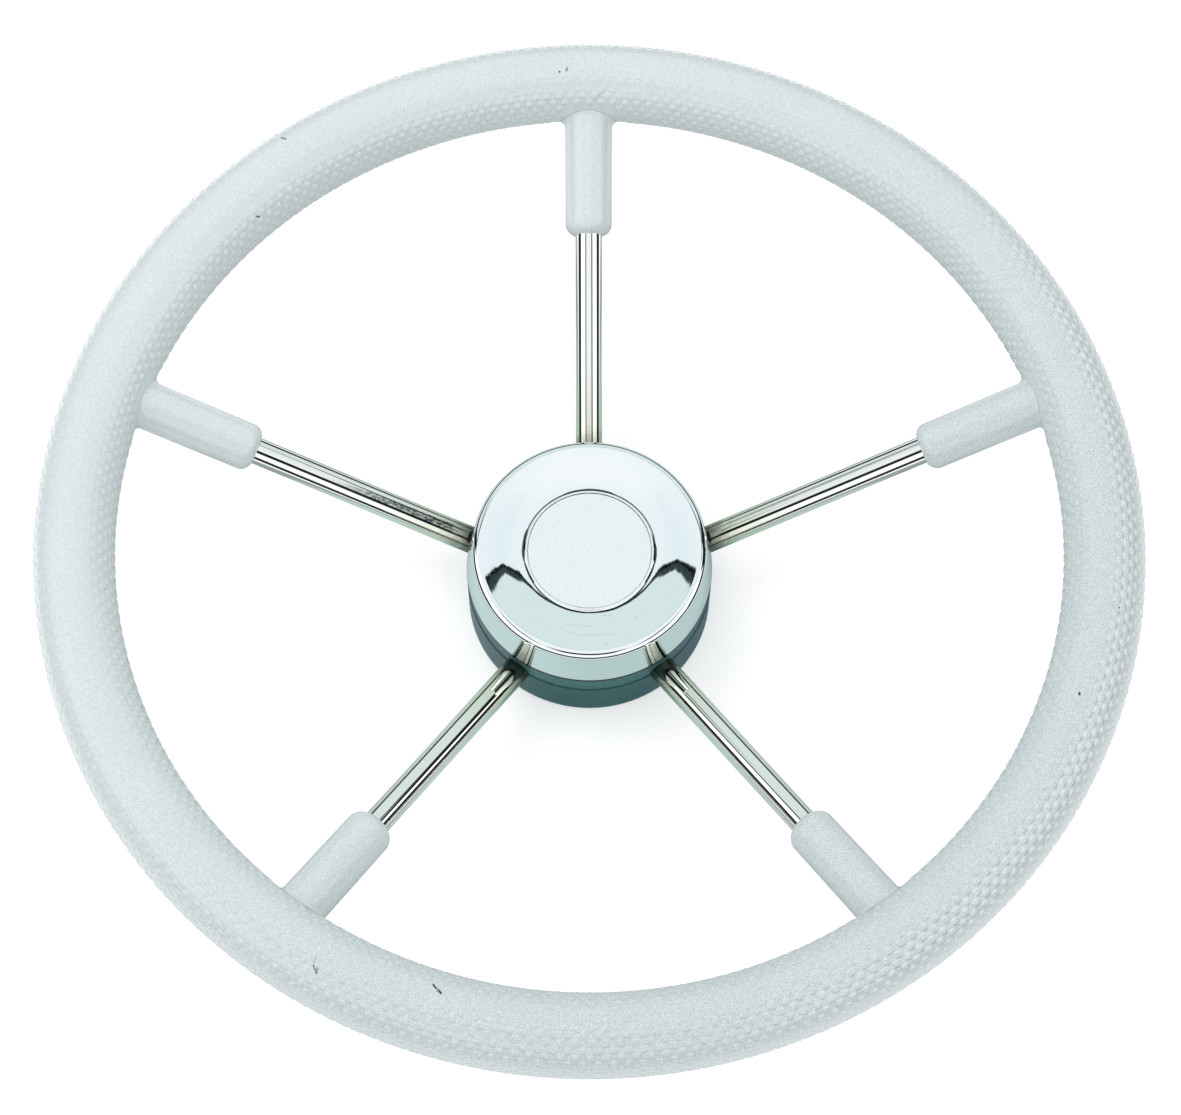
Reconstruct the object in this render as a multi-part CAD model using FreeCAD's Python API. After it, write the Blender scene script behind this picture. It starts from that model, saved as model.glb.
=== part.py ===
import FreeCAD, Part
import math
import os

# Five-spoke boat steering wheel, in millimetres.
# Origin: centre of the hub's flat back face, on the turning axis. +Z runs along that axis towards the driver,
# +Y runs up along the top spoke, +X to the driver's right.

V = FreeCAD.Vector

# ---- driving dimensions -------------------------------------------------------------------------------------
# rim
RIM_OD = 400.0          # outside diameter over the grip
RIM_SEC_R = 14.7        # radius of the grip's round section, over the raised dots
RIM_Z = 64.0            # height of the rim's centre plane above the hub's back face (the dish)
CORE_R = 8.0            # steel ring tube, outer radius of its section
CORE_WALL = 1.5
# spokes
SPOKES = [("spoke_top", 90.0), ("spoke_upper_right", 18.0), ("spoke_lower_right", -54.0),
          ("spoke_lower_left", -126.0), ("spoke_upper_left", 162.0)]
SPOKE_R = 5.0           # 10 mm tube
SPOKE_WALL = 1.0
SPOKE_TILT = 16.5       # degrees from the rim plane, falling towards the hub
SPOKE_DROP = 2.0        # the spokes' axes pass this far under the centre of the rim section
# sleeves, moulded in one with the grip
SLEEVE_TIP_X = 129.5    # distance of a sleeve's end from the turning axis
SLEEVE_TIP_R = 5.2      # radius at the very end, just over the tube
SLEEVE_END_L = 5.0      # length of the rounded end
SLEEVE_R1 = 8.75        # radius behind the rounded end
SLEEVE_R2 = 9.1         # radius at the root
ROOT_FILLET = 2.6       # blend between a sleeve and the rim
# boss
BOSS_R = 20.0
BOSS_H = 30.0
BORE_D = 19.05          # large end of the tapered bore, at the back face
BORE_TAPER = 12.0       # 1 in 12 on the diameter
KEY_W = 4.76
KEY_DEPTH = 2.4         # keyway depth beyond the bore's wall
# hub casing
LOW_R = 45.4
UP_R = 45.0
PART_Z = 20.4           # plane where the two halves meet, through the spokes
SEAM_Z = 29.6           # shoulder that the cap's skirt stands on
WALL = 2.8
FLOOR = 3.0
WEB = 2.7               # thickness of the upper half's top web
POST_PCD_R = 32.0
POST_R = 5.5
SCREW_R = 1.95
SCREW_HEAD_R = 3.6
SCREW_HEAD_H = 2.6
SCREW_SEAT_Z = 4.2      # height of the shoulder that a screw's head bears on
SCREW_TOP_Z = 27.4
SPIGOT_R = 41.8
SPIGOT_IN_R = 38.4
SPIGOT_Z = 36.0
RING_Z = 33.2           # O-ring and its groove
RING_SEC_R = 1.07
RING_R = 41.7
# cap
CAP_SKIRT_R = 45.4      # skirt's lower edge
CAP_BEAD_R = 40.2       # middle of the rounded bead's section
CAP_BEAD_Z = 45.53
CAP_BEAD_SEC_R = 3.0
CAP_DISH_END = 10.0     # slope of the dished ring, in degrees, where it runs into the bead
CAP_DISH_SLOPE = 14.3   # its slope in the middle
CAP_DISH_START = 4.8    # its slope at the foot of the seat
CAP_DISH_R1 = 29.3      # the middle slope runs straight between these two radii
CAP_DISH_R2 = 36.2
CAP_FOOT_R = 24.1       # foot of the raised seat round the disc
CAP_LIP_R = 23.5
CAP_LIP_Z = 45.85
CAP_T = 2.0
DISC_R = 22.7
DISC_FIT_R = 22.8       # recess for the disc
DISC_SEAT_Z = 43.95
DISC_TOP_Z = 45.68

R_MEAN = RIM_OD / 2 - RIM_SEC_R
TH = math.radians(SPOKE_TILT)
Z0 = RIM_Z - SPOKE_DROP - R_MEAN * math.tan(TH)   # where the spokes' axes meet on the turning axis


# ---- helpers --------------------------------------------------------------------------------------------------
def revolve(points_or_edges):
    """Turns a closed outline in the XZ half plane about Z."""
    edges = []
    for item in points_or_edges:
        edges.append(item)
    wire = Part.Wire(edges)
    return Part.Face(wire).revolve(V(0, 0, 0), V(0, 0, 1), 360)


def line(a, b):
    return Part.LineSegment(V(a[0], 0, a[1]), V(b[0], 0, b[1])).toShape()


def arc(a, m, b):
    return Part.Arc(V(a[0], 0, a[1]), V(m[0], 0, m[1]), V(b[0], 0, b[1])).toShape()


def outline(points):
    """Straight-sided closed outline."""
    n = len(points)
    return [line(points[i], points[(i + 1) % n]) for i in range(n)]


def spin(shape, degrees):
    copy = shape.copy()
    copy.rotate(V(0, 0, 0), V(0, 0, 1), degrees)
    return copy


def ring_torus(big, small, z):
    return Part.makeTorus(big, small, V(0, 0, z), V(0, 0, 1))


def tidy(shape):
    """Biggest solid of a result, with split faces joined again."""
    solids = sorted(shape.Solids, key=lambda s: -s.Volume)
    out = solids[0].removeSplitter()
    return out.Solids[0] if out.Solids else solids[0]


def axis_point(x):
    """Point on a spoke's axis at the distance x from the turning axis, for a spoke along +X."""
    return V(x, 0, Z0 + x * math.tan(TH))


AXIS = V(math.cos(TH), 0, math.sin(TH))


def spoke_rod(radius, x0, x1):
    a = axis_point(x0)
    return Part.makeCylinder(radius, (x1 - x0) / math.cos(TH), a, AXIS)


def along_axis(shape, x):
    """Moves a shape made along +Z from the origin onto the spoke's axis, starting at x."""
    shape = shape.copy()
    shape.rotate(V(0, 0, 0), V(0, 1, 0), 90.0 - SPOKE_TILT)
    shape.translate(axis_point(x))
    return shape


# ---- steel frame ----------------------------------------------------------------------------------------------
core_outer = ring_torus(R_MEAN, CORE_R, RIM_Z)
core_inner = ring_torus(R_MEAN, CORE_R - CORE_WALL, RIM_Z)
rim_core = core_outer.cut(core_inner)

barrel = Part.makeCylinder(BOSS_R, BOSS_H)

rod_full = spoke_rod(SPOKE_R, 10.0, R_MEAN - 1.0)
rod_bore = spoke_rod(SPOKE_R - SPOKE_WALL, 5.0, R_MEAN + 2.0)
rod_outer = tidy(rod_full.cut(barrel).cut(core_outer))
spoke_master = tidy(rod_full.cut(rod_bore).cut(barrel).cut(core_outer))

# boss: turned barrel with a tapered bore, a keyway and broken edges
r_big = BORE_D / 2
r_small = r_big - BOSS_H / (2 * BORE_TAPER)
c = 0.8
body = revolve(outline([(r_big + 0.6, 0), (BOSS_R - c, 0), (BOSS_R, c), (BOSS_R, BOSS_H - c), (BOSS_R - c, BOSS_H),
                        (r_small + 0.6, BOSS_H), (r_small + 0.6 / (2 * BORE_TAPER), BOSS_H - 0.6),
                        (r_big - 0.6 / (2 * BORE_TAPER), 0.6)]))
key = Part.makeBox(r_big + KEY_DEPTH, KEY_W, BOSS_H + 2, V(0, -KEY_W / 2, -1))
# the keyway's floor keeps its depth along the taper
key.rotate(V(r_big + KEY_DEPTH, 0, 0), V(0, 1, 0), -math.degrees(math.atan(1 / (2 * BORE_TAPER))))
hub_boss = tidy(body.cut(key))

# ---- grip -----------------------------------------------------------------------------------------------------
x_end = SLEEVE_TIP_X
length = (R_MEAN - x_end) / math.cos(TH)
k = 0.70710678
dr = SLEEVE_R1 - SLEEVE_TIP_R
end_arc = Part.Arc(V(SLEEVE_TIP_R, 0, 0), V(SLEEVE_TIP_R + dr * k, 0, SLEEVE_END_L * (1 - k)),
                   V(SLEEVE_R1, 0, SLEEVE_END_L)).toShape()
sleeve = Part.Face(Part.Wire([line((0, 0), (SLEEVE_TIP_R, 0)), end_arc,
                              line((SLEEVE_R1, SLEEVE_END_L), (SLEEVE_R2, length)),
                              line((SLEEVE_R2, length), (0, length)), line((0, length), (0, 0))]))
sleeve = sleeve.revolve(V(0, 0, 0), V(0, 0, 1), 360)
sleeve = along_axis(sleeve, x_end)

rim_solid = ring_torus(R_MEAN, RIM_SEC_R, RIM_Z)
rim_solid.rotate(V(0, 0, RIM_Z), V(0, 0, 1), -90.0)
for name, az in SPOKES:
    rim_solid = rim_solid.fuse(spin(sleeve, az))
rim_solid = tidy(rim_solid)


def root_edges(shape):
    found = []
    for edge in shape.Edges:
        p = edge.valueAt((edge.FirstParameter + edge.LastParameter) / 2)
        r = math.hypot(p.x, p.y)
        if len(edge.Vertexes) and R_MEAN - RIM_SEC_R - 3 < r < R_MEAN - 6 and edge.Length > 5:
            inside = all(R_MEAN - RIM_SEC_R - 3 < math.hypot(v.X, v.Y) < R_MEAN - 4 for v in edge.Vertexes)
            if inside and abs(math.hypot(R_MEAN - r, p.z - RIM_Z) - RIM_SEC_R) < 0.05:
                found.append(edge)
    return found


roots = root_edges(rim_solid)
print("root edges", len(roots))
try:
    blended = rim_solid.makeFillet(ROOT_FILLET, roots)
    if blended.isValid() and len(blended.Solids) == 1:
        rim_solid = blended.Solids[0]
        print("root fillets made")
except Exception as error:
    print("root fillets left out:", error)

rim_grip = rim_solid.cut(core_outer)
for name, az in SPOKES:
    rim_grip = rim_grip.cut(spin(rod_full, az))
rim_grip = sorted(rim_grip.Solids, key=lambda s: -s.Volume)[0]

# ---- hub casing -----------------------------------------------------------------------------------------------
e = 1.6
low = revolve([line((BOSS_R, 0), (LOW_R - e, 0)),
               arc((LOW_R - e, 0), (LOW_R - e + e * k, e - e * k), (LOW_R, e)),
               line((LOW_R, e), (LOW_R, PART_Z)),
               line((LOW_R, PART_Z), (LOW_R - WALL, PART_Z)),
               line((LOW_R - WALL, PART_Z), (LOW_R - WALL, FLOOR)),
               line((LOW_R - WALL, FLOOR), (BOSS_R + 2.2, FLOOR)),
               line((BOSS_R + 2.2, FLOOR), (BOSS_R + 2.2, FLOOR + 2.0)),
               line((BOSS_R + 2.2, FLOOR + 2.0), (BOSS_R, FLOOR + 2.0)),
               line((BOSS_R, FLOOR + 2.0), (BOSS_R, 0))])
up = revolve(outline([(BOSS_R, SEAM_Z - WEB), (UP_R - WALL, SEAM_Z - WEB), (UP_R - WALL, PART_Z), (UP_R, PART_Z),
                      (UP_R, SEAM_Z), (SPIGOT_R, SEAM_Z), (SPIGOT_R, RING_Z - 1.3), (RING_R - RING_SEC_R, RING_Z - 1.3),
                      (RING_R - RING_SEC_R, RING_Z + 1.3), (SPIGOT_R, RING_Z + 1.3), (SPIGOT_R, SPIGOT_Z - 0.5),
                      (SPIGOT_R - 0.5, SPIGOT_Z), (SPIGOT_IN_R, SPIGOT_Z), (SPIGOT_IN_R, SEAM_Z), (BOSS_R, SEAM_Z)]))
screws = []
for name, az in SPOKES:
    a = math.radians(az + 36.0)
    x, y = POST_PCD_R * math.cos(a), POST_PCD_R * math.sin(a)
    # posts, with ribs that tie them to the outer wall
    low = low.fuse(Part.makeCylinder(POST_R, PART_Z - FLOOR + 0.5, V(x, y, FLOOR - 0.5)))
    up = up.fuse(Part.makeCylinder(POST_R, SEAM_Z - WEB - PART_Z + 0.5, V(x, y, PART_Z)))
    rib = Part.makeBox(LOW_R - WALL + 0.5 - POST_PCD_R - POST_R + 1.0, 1.8, PART_Z - FLOOR - 2.0,
                       V(POST_PCD_R + POST_R - 1.0, -0.9, FLOOR - 0.5))
    low = low.fuse(spin(rib, az + 36.0))
for name, az in SPOKES:
    a = math.radians(az + 36.0)
    x, y = POST_PCD_R * math.cos(a), POST_PCD_R * math.sin(a)
    low = low.cut(Part.makeCylinder(SCREW_HEAD_R + 0.25, SCREW_SEAT_Z + 1, V(x, y, -1)))
    low = low.cut(Part.makeCylinder(SCREW_R + 0.2, 30.0, V(x, y, 0)))
    up = up.cut(Part.makeCylinder(SCREW_R, SCREW_TOP_Z - PART_Z + 1.0, V(x, y, PART_Z - 1.0)))
    # pan head with a cross recess
    head = Part.makeCylinder(SCREW_HEAD_R, SCREW_HEAD_H, V(0, 0, SCREW_SEAT_Z - SCREW_HEAD_H))
    head = head.makeChamfer(0.5, [ed for ed in head.Edges if ed.BoundBox.ZMax < SCREW_SEAT_Z - SCREW_HEAD_H + 0.01])
    shank = Part.makeCylinder(SCREW_R, SCREW_TOP_Z - SCREW_SEAT_Z, V(0, 0, SCREW_SEAT_Z))
    tip = [ed for ed in shank.Edges if ed.BoundBox.ZMin > SCREW_TOP_Z - 0.01]
    shank = shank.makeChamfer(0.7, tip)
    screw = head.fuse(shank)
    for turn in (0, 90):
        slot = Part.makeBox(4.2, 0.9, 1.4, V(-2.1, -0.45, SCREW_SEAT_Z - SCREW_HEAD_H - 0.1))
        screw = screw.cut(spin(slot, turn))
    screw = tidy(screw)
    screw.translate(V(x, y, 0))
    screws.append(screw)
    low = low.cut(spin(rod_full, az))
    up = up.cut(spin(rod_full, az))
lower_shroud = tidy(low)
upper_shroud = tidy(up)
shroud_screws = Part.makeCompound(screws)
cap_o_ring = ring_torus(RING_R, RING_SEC_R, RING_Z)

# ---- cap ------------------------------------------------------------------------------------------------------
b = 0.5
sin_d, cos_d = (lambda v: math.sin(math.radians(v))), (lambda v: math.cos(math.radians(v)))


def on_bead(tilt):
    """Point of the bead's section whose normal leans outwards by tilt degrees."""
    return (CAP_BEAD_R + CAP_BEAD_SEC_R * sin_d(tilt), CAP_BEAD_Z + CAP_BEAD_SEC_R * cos_d(tilt))


# dished ring, from the bead inwards: a gentle crown, a straight cone and a soft hollow at the seat's foot
dish_end = on_bead(-CAP_DISH_END)
rad2 = (dish_end[0] - CAP_DISH_R2) / (sin_d(CAP_DISH_SLOPE) - sin_d(CAP_DISH_END))
dish_2 = (CAP_DISH_R2, dish_end[1] - rad2 * (cos_d(CAP_DISH_END) - cos_d(CAP_DISH_SLOPE)))
mid2 = (CAP_DISH_SLOPE + CAP_DISH_END) / 2
dish_2m = (CAP_DISH_R2 + rad2 * (sin_d(CAP_DISH_SLOPE) - sin_d(mid2)), dish_2[1] + rad2 * (cos_d(mid2) - cos_d(CAP_DISH_SLOPE)))
dish_1 = (CAP_DISH_R1, dish_2[1] - (CAP_DISH_R2 - CAP_DISH_R1) * math.tan(math.radians(CAP_DISH_SLOPE)))
rad1 = (CAP_DISH_R1 - CAP_FOOT_R) / (sin_d(CAP_DISH_SLOPE) - sin_d(CAP_DISH_START))
mid1 = (CAP_DISH_SLOPE + CAP_DISH_START) / 2
foot = (CAP_FOOT_R, dish_1[1] - rad1 * (cos_d(CAP_DISH_START) - cos_d(CAP_DISH_SLOPE)))
dish_1m = (CAP_FOOT_R + rad1 * (sin_d(mid1) - sin_d(CAP_DISH_START)), foot[1] + rad1 * (cos_d(CAP_DISH_START) - cos_d(mid1)))
# the skirt is a straight cone that touches the bead
hem = (CAP_SKIRT_R, SEAM_Z + b)
reach = math.hypot(hem[0] - CAP_BEAD_R, hem[1] - CAP_BEAD_Z)
turn = math.atan2(hem[1] - CAP_BEAD_Z, hem[0] - CAP_BEAD_R) + math.acos(CAP_BEAD_SEC_R / reach)
skirt_tilt = 90.0 - math.degrees(turn)
skirt_top = on_bead(skirt_tilt)
print("cap: foot z %.2f, crest z %.2f, skirt leans %.2f degrees" % (foot[1], CAP_BEAD_Z + CAP_BEAD_SEC_R, 90 - skirt_tilt))

inner_low = CAP_SKIRT_R - CAP_T
inner_top_z = 46.4
inner_top_r = inner_low - 0.157 * (inner_top_z - SEAM_Z) - 0.2
hub_cap = revolve([
    line((inner_low, SEAM_Z), (CAP_SKIRT_R - b, SEAM_Z)),
    arc((CAP_SKIRT_R - b, SEAM_Z), (CAP_SKIRT_R - b + b * k, SEAM_Z + b - b * k), hem),
    line(hem, skirt_top),
    arc(skirt_top, on_bead((skirt_tilt - CAP_DISH_END) / 2), dish_end),
    arc(dish_end, dish_2m, dish_2),
    line(dish_2, dish_1),
    arc(dish_1, dish_1m, foot),
    line(foot, (CAP_LIP_R, CAP_LIP_Z)),
    line((CAP_LIP_R, CAP_LIP_Z), (DISC_FIT_R, CAP_LIP_Z)),
    line((DISC_FIT_R, CAP_LIP_Z), (DISC_FIT_R, DISC_SEAT_Z)),
    line((DISC_FIT_R, DISC_SEAT_Z), (0, DISC_SEAT_Z)),
    line((0, DISC_SEAT_Z), (0, DISC_SEAT_Z - CAP_T)),
    line((0, DISC_SEAT_Z - CAP_T), (CAP_FOOT_R + 0.6, DISC_SEAT_Z - CAP_T)),
    arc((CAP_FOOT_R + 0.6, DISC_SEAT_Z - CAP_T), (32.6, 44.85), (inner_top_r - 0.8, inner_top_z)),
    line((inner_top_r - 0.8, inner_top_z), (inner_top_r, inner_top_z)),
    line((inner_top_r, inner_top_z), (inner_low, SEAM_Z)),
])
hub_cap = hub_cap.Solids[0] if hub_cap.Solids else hub_cap
d = 0.35
centre_disc = revolve([line((0, DISC_SEAT_Z), (DISC_R, DISC_SEAT_Z)), line((DISC_R, DISC_SEAT_Z), (DISC_R, DISC_TOP_Z - d)),
                       arc((DISC_R, DISC_TOP_Z - d), (DISC_R - d + d * k, DISC_TOP_Z - d + d * k), (DISC_R - d, DISC_TOP_Z)),
                       line((DISC_R - d, DISC_TOP_Z), (0, DISC_TOP_Z)), line((0, DISC_TOP_Z), (0, DISC_SEAT_Z))])

# ---- write ----------------------------------------------------------------------------------------------------
nodes = {
    "rim_grip": rim_grip,
    "rim_core": rim_core,
    "hub_boss": hub_boss,
    "lower_shroud": lower_shroud,
    "upper_shroud": upper_shroud,
    "shroud_screws": shroud_screws,
    "cap_o_ring": cap_o_ring,
    "hub_cap": hub_cap,
    "centre_disc": centre_disc,
}
for name, az in SPOKES:
    nodes[name] = spin(spoke_master, az)

os.makedirs("parts", exist_ok=True)
for name, shape in nodes.items():
    print(f"{name:20s} valid {shape.isValid()} solids {len(shape.Solids)} faces {len(shape.Faces)} "
          f"volume {shape.Volume / 1000:.2f} cm3 z {shape.BoundBox.ZMin:.2f}..{shape.BoundBox.ZMax:.2f}")
    shape.exportStep(f"parts/{name}.step")
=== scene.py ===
import math
import bpy
import numpy as np
from mathutils import Matrix, Vector
from mathutils.geometry import delaunay_2d_cdt


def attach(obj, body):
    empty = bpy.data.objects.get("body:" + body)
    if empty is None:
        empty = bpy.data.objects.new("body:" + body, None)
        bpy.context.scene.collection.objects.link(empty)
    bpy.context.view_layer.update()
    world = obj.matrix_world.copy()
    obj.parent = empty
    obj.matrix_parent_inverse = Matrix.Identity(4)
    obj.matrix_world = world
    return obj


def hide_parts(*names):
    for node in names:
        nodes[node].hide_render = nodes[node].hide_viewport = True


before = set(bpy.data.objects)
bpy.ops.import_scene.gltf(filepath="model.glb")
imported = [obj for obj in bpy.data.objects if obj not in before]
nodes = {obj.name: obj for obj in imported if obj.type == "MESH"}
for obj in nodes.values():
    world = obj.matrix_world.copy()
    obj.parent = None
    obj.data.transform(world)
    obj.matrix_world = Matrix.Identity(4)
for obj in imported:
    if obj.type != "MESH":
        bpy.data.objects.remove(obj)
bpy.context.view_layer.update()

MM = 0.001
scene = bpy.context.scene
scene.view_settings.view_transform = "Standard"
scene.view_settings.look = "None"

# ---- dimensions in millimetres, as in the CAD -------------------------------------------------------------------
R_MEAN, SEC_R, RIM_Z = 185.3, 14.7, 64.0
SPOKES = [("spoke_top", 90.0), ("spoke_upper_right", 18.0), ("spoke_lower_right", -54.0),
          ("spoke_lower_left", -126.0), ("spoke_upper_left", 162.0)]
SPOKE_R, TILT, DROP = 5.0, math.radians(16.5), 2.0
Z0 = RIM_Z - DROP - R_MEAN * math.tan(TILT)
TIP_X, TIP_R, END_L, SLV_R1, SLV_R2, ROOT_F = 129.5, 5.2, 5.0, 8.75, 9.1, 2.6
SLV_LEN = (R_MEAN - TIP_X) / math.cos(TILT)
LOW_R, UP_R, PART_Z, SEAM_Z = 45.4, 45.0, 20.4, 29.6

# the grip's raised dots: 34 rows round the section, 240 dots in each, every other row half a pitch along
BASE_R = 14.35
N_ROW, N_COL = 34, 240
D_PSI, D_PHI = 2 * math.pi / N_ROW, 2 * math.pi / N_COL
PSI_0, PHI_0 = math.radians(76.0), math.radians(0.69)
DOT_R, DOT_IN, DOT_H, DOT_IN_H = 1.55, 0.86, 0.33, 0.29


# ---- mesh helpers ---------------------------------------------------------------------------------------------
def build(name, verts, faces, loop_normals=None, attributes=None):
    """Mesh object from millimetres, with one normal for each face corner."""
    me = bpy.data.meshes.new(name)
    me.from_pydata((np.asarray(verts) * MM).tolist(), [], faces)
    me.polygons.foreach_set("use_smooth", np.ones(len(me.polygons), dtype=bool))
    if loop_normals is not None:
        n = np.asarray(loop_normals, float)
        n /= np.maximum(np.linalg.norm(n, axis=1), 1e-12)[:, None]
        me.normals_split_custom_set(n.tolist())
    for key, values in (attributes or {}).items():
        a = me.attributes.new(key, "FLOAT", "POINT")
        a.data.foreach_set("value", np.asarray(values, np.float32))
    me.update()
    ob = bpy.data.objects.new(name, me)
    scene.collection.objects.link(ob)
    return ob


def arc3(a, m, b, n):
    """Points of the circular arc a-m-b, in n steps."""
    (ax, ay), (mx, my), (bx, by) = a, m, b
    d = 2 * (ax * (my - by) + mx * (by - ay) + bx * (ay - my))
    ux = ((ax * ax + ay * ay) * (my - by) + (mx * mx + my * my) * (by - ay) + (bx * bx + by * by) * (ay - my)) / d
    uy = ((ax * ax + ay * ay) * (bx - mx) + (mx * mx + my * my) * (ax - bx) + (bx * bx + by * by) * (mx - ax)) / d
    t0, t1, tm = math.atan2(ay - uy, ax - ux), math.atan2(by - uy, bx - ux), math.atan2(my - uy, mx - ux)
    ccw = (t1 - t0) % (2 * math.pi)
    if (tm - t0) % (2 * math.pi) > ccw:
        ccw -= 2 * math.pi
    t = t0 + ccw * np.linspace(0, 1, n + 1)
    r = math.hypot(ax - ux, ay - uy)
    return [(ux + r * math.cos(v), uy + r * math.sin(v)) for v in t]


class Outline:
    """Closed outline in (radius, height), walked with the material on its left; every run keeps its own normals."""

    def __init__(self, start):
        self.pts, self.runs = [start], []

    def line(self, to, n=1):
        a = self.pts[-1]
        t = (to[0] - a[0], to[1] - a[1])
        nn = (t[1], -t[0])
        for i in range(1, n + 1):
            self.pts.append((a[0] + t[0] * i / n, a[1] + t[1] * i / n))
            self.runs.append((nn, nn))
        return self

    def arc(self, mid, to, n=8):
        p = arc3(self.pts[-1], mid, to, n)
        c = np.array(p)
        tang = np.gradient(c, axis=0)
        # exact end tangents of a circle from three points
        def centre(a, m, b):
            A = np.array([[m[0] - a[0], m[1] - a[1]], [b[0] - a[0], b[1] - a[1]]]) * 2
            B = np.array([m[0] ** 2 + m[1] ** 2 - a[0] ** 2 - a[1] ** 2, b[0] ** 2 + b[1] ** 2 - a[0] ** 2 - a[1] ** 2])
            return np.linalg.solve(A, B)
        o = centre(p[0], mid, to)
        nrm = c - o
        ref = np.array([tang[len(c) // 2][1], -tang[len(c) // 2][0]])
        if np.dot(nrm[len(c) // 2], ref) < 0:
            nrm = -nrm
        for i in range(1, len(p)):
            self.pts.append(p[i])
            self.runs.append((tuple(nrm[i - 1]), tuple(nrm[i])))
        return self


def lathe(name, outline, seg, place=None):
    """Turned body from an Outline that starts and ends on the axis, or is closed. The frame is (x, y, z) with z the axis."""
    pts, runs = outline.pts, outline.runs
    closed = abs(pts[0][0] - pts[-1][0]) + abs(pts[0][1] - pts[-1][1]) < 1e-9
    if closed:
        pts = pts[:-1]
    ang = np.arange(seg) * 2 * math.pi / seg
    ca, sa = np.cos(ang), np.sin(ang)
    verts, first, single = [], [], []
    for r, z in pts:
        first.append(len(verts))
        if r < 1e-9:
            single.append(True)
            verts.append((0.0, 0.0, z))
        else:
            single.append(False)
            verts += [(r * ca[i], r * sa[i], z) for i in range(seg)]
    faces, normals = [], []

    def nv(n, i):
        i %= seg
        return (n[0] * ca[i], n[0] * sa[i], n[1])

    for j, (n0, n1) in enumerate(runs):
        p, q = j, (j + 1) % len(pts)
        for i in range(seg):
            i2 = (i + 1) % seg
            if single[p] and single[q]:
                continue
            if single[p]:
                faces.append((first[p], first[q] + i2, first[q] + i)[::-1])
                normals += [nv(n1, i), nv(n1, i + 1), (0, 0, n0[1])]
            elif single[q]:
                faces.append((first[p] + i, first[p] + i2, first[q]))
                normals += [nv(n0, i), nv(n0, i + 1), (0, 0, n1[1])]
            else:
                faces.append((first[p] + i, first[p] + i2, first[q] + i2, first[q] + i))
                normals += [nv(n0, i), nv(n0, i + 1), nv(n1, i + 1), nv(n1, i)]
    verts, normals = np.array(verts), np.array(normals, float)
    if place is not None:
        rot, off = place
        verts = verts @ rot.T + off
        normals = normals @ rot.T
    return build(name, verts, faces, normals)


def spoke_frame(azimuth):
    """Columns: two directions across a spoke and the spoke's own direction, outwards."""
    a = math.radians(azimuth)
    rz = np.array([[math.cos(a), -math.sin(a), 0], [math.sin(a), math.cos(a), 0], [0, 0, 1]])
    along = np.array([math.cos(TILT), 0, math.sin(TILT)])
    up = np.array([-math.sin(TILT), 0, math.cos(TILT)])
    side = np.cross(along, up)
    return rz @ np.stack([up, side, along], axis=1), rz


# ---- grip: rim with raised dots and five sleeves, one closed skin ---------------------------------------------
def torus(phi, psi, r):
    rho = R_MEAN + r * np.cos(psi)
    return np.stack([rho * np.cos(phi), rho * np.sin(phi), RIM_Z + r * np.sin(psi)], -1)


def torus_normal(phi, psi):
    return np.stack([np.cos(psi) * np.cos(phi), np.cos(psi) * np.sin(phi), np.sin(psi)], -1)


def sleeve_radius(s):
    return SLV_R1 + (SLV_R2 - SLV_R1) * (s - END_L) / (SLV_LEN - END_L)


N_S = 32                    # corners round a sleeve


def root_curves():
    """For a spoke along +X: where the ball that blends sleeve and rim runs, and where it touches both."""
    along = np.array([math.cos(TILT), 0, math.sin(TILT)])
    up = np.array([-math.sin(TILT), 0, math.cos(TILT)])
    side = np.cross(along, up)
    tip = np.array([TIP_X, 0, Z0 + TIP_X * math.tan(TILT)])
    out = []
    for i in range(N_S):
        al = 2 * math.pi * i / N_S
        e = math.cos(al) * up + math.sin(al) * side
        lo, hi = 20.0, 50.0
        for _ in range(60):
            s = (lo + hi) / 2
            c = tip + s * along + (sleeve_radius(s) + ROOT_F) * e
            d = math.hypot(math.hypot(c[0], c[1]) - R_MEAN, c[2] - RIM_Z) - BASE_R
            lo, hi = (s, hi) if d > ROOT_F else (lo, s)
        rho = math.hypot(c[0], c[1])
        n = np.array([(rho - R_MEAN) * c[0] / rho, (rho - R_MEAN) * c[1] / rho, c[2] - RIM_Z])
        n /= np.linalg.norm(n)
        out.append((s, c, e, n))
    return tip, along, out


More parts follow.
